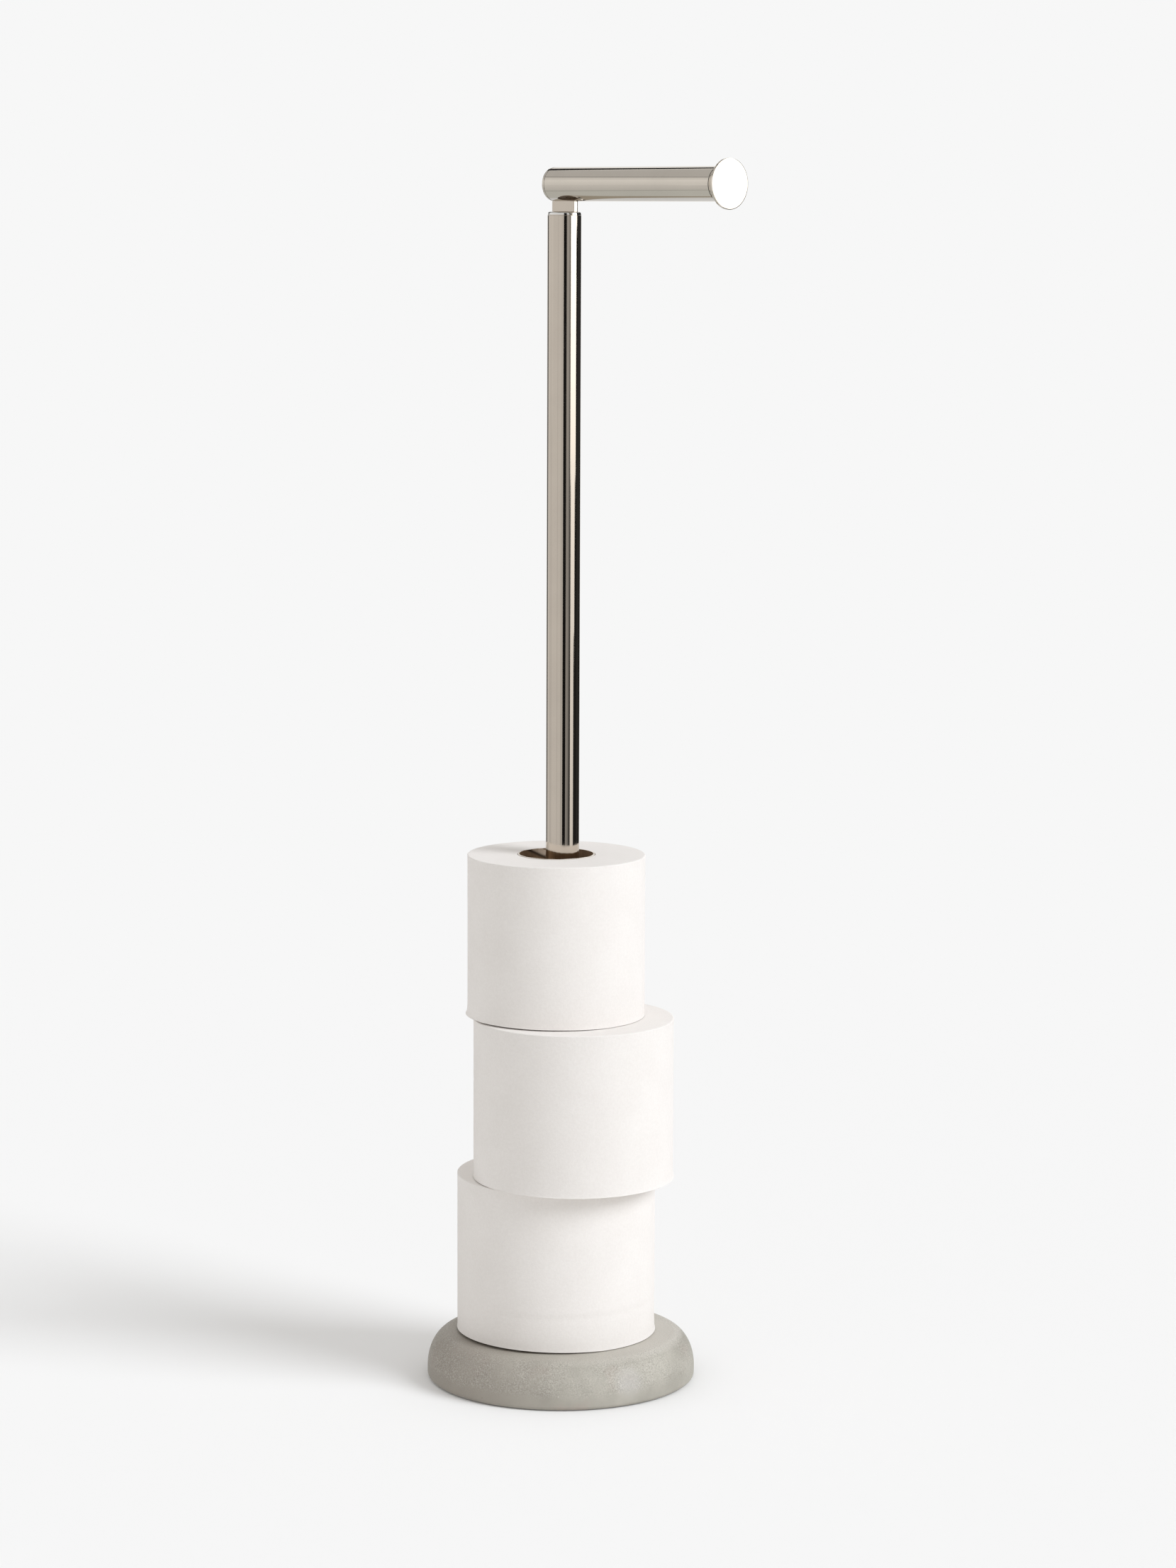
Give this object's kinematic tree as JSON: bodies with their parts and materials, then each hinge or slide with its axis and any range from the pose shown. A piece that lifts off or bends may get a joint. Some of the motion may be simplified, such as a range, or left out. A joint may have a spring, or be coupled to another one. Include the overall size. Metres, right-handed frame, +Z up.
{
  "type": "freestanding toilet paper holder",
  "caption": "Freestanding toilet paper holder: round concrete base, polished metal pole that stores spare rolls, and a hinged roll arm that flips up for loading.",
  "frame": {"origin": "centre of the foot pad's underside, on the pole's axis, on the floor", "axes": "+Z up the pole, +X along the roll arm towards its end flange, +Y across the arm"},
  "size_m": [0.2176, 0.1624, 0.7335],
  "materials": {
    "concrete": "matte",
    "polished_nickel": "polished",
    "plated_steel": "satin",
    "foam_rubber": "matte",
    "nylon": "satin",
    "tissue": "matte",
    "core_board": "matte"
  },
  "bodies": {
    "stand": {"concrete_base": "concrete", "foot_pad": "foam_rubber", "load_washer": "plated_steel", "spring_washer": "plated_steel", "fixing_bolt": "plated_steel", "pole_gasket": "foam_rubber", "pole_tube": "polished_nickel", "threaded_plug": "plated_steel", "post_cap": "polished_nickel"},
    "arm": {"arm_tube": "polished_nickel", "hinge_block": "polished_nickel", "hinge_pin": "plated_steel", "hinge_washer_left": "nylon", "hinge_washer_right": "nylon", "end_flange": "polished_nickel"},
    "bottom_roll": {"bottom_roll_paper": "tissue", "bottom_roll_core": "core_board"},
    "middle_roll": {"middle_roll_paper": "tissue", "middle_roll_core": "core_board"},
    "top_roll": {"top_roll_paper": "tissue", "top_roll_core": "core_board"}
  },
  "joints": [
    {"name": "arm_pivot", "type": "hinge", "parent": "stand", "child": "arm", "pos_m": [0, 0, 0.719], "axis": [0, -1, 0], "range_deg": [0, 90]},
    {"name": "bottom_roll_lift", "type": "slide", "parent": "stand", "child": "bottom_roll", "axis": [0, 0, 1], "range_m": [0, 0.125]},
    {"name": "middle_roll_lift", "type": "slide", "parent": "bottom_roll", "child": "middle_roll", "axis": [0, 0, 1], "range_m": [0, 0.125]},
    {"name": "top_roll_lift", "type": "slide", "parent": "middle_roll", "child": "top_roll", "axis": [0, 0, 1], "range_m": [0, 0.125]}
  ]
}
